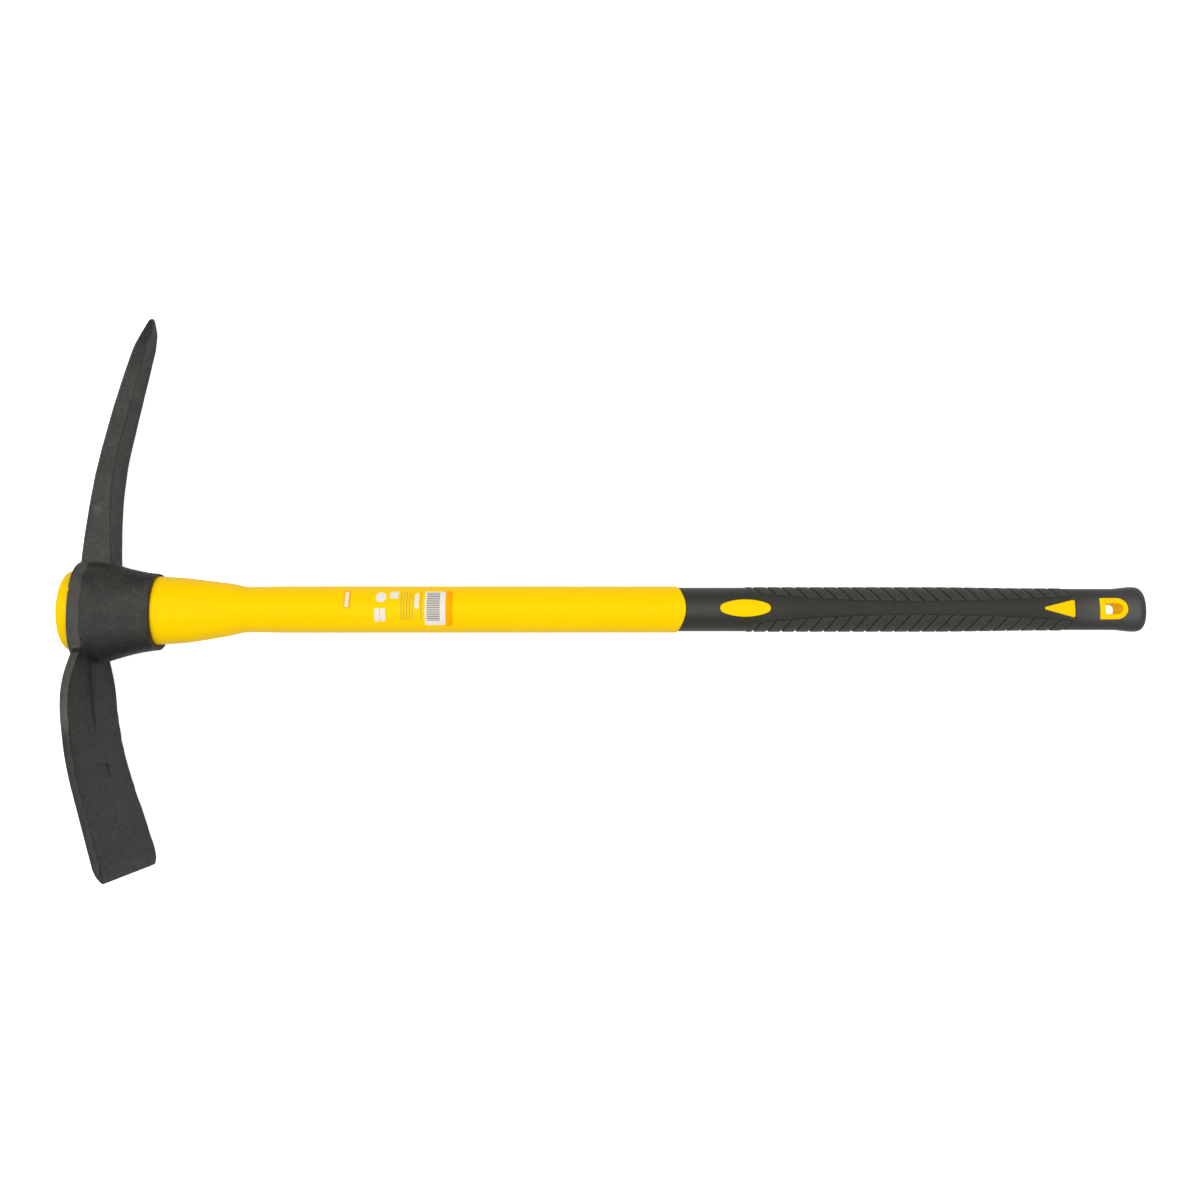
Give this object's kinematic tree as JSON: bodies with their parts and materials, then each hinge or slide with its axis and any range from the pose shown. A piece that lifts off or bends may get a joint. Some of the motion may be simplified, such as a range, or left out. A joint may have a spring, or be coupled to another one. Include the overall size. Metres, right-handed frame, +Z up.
{
  "type": "pick mattock",
  "caption": "Pick mattock: forged head with a curved pick and a broad adze blade, on a long oval moulded handle with a treaded rubber grip and a hang hole.",
  "frame": {"origin": "centre of the bounding box, on the ground that the tool lies on", "axes": "+X along the handle from the head to the grip, +Y towards the pick's point, +Z up; the handle dips 1.4 degrees towards the butt, because the tool rests on its blade's side, its pick and its grip"},
  "size_m": [0.8892, 0.461, 0.1033],
  "materials": {
    "forged_steel": "dark lacquered forging, slightly rough, with a satin sheen",
    "fibreglass": "glass-fibre rod, sawn end",
    "yellow_plastic": "smooth moulded, semi-gloss",
    "black_rubber": "soft-touch rubber, smooth bands beside grained tread",
    "label_film": null
  },
  "bodies": {
    "handle": {"handle_core": "fibreglass", "handle_jacket": "yellow_plastic", "grip_sleeve": "black_rubber", "shaft_label": "label_film"},
    "head": {"mattock_head": "forged_steel"}
  },
  "joints": [
    {"name": "head_slide", "type": "slide", "parent": "handle", "child": "head", "axis": [0.9997, 0, -0.0252], "range_m": [0, 0.876]}
  ]
}
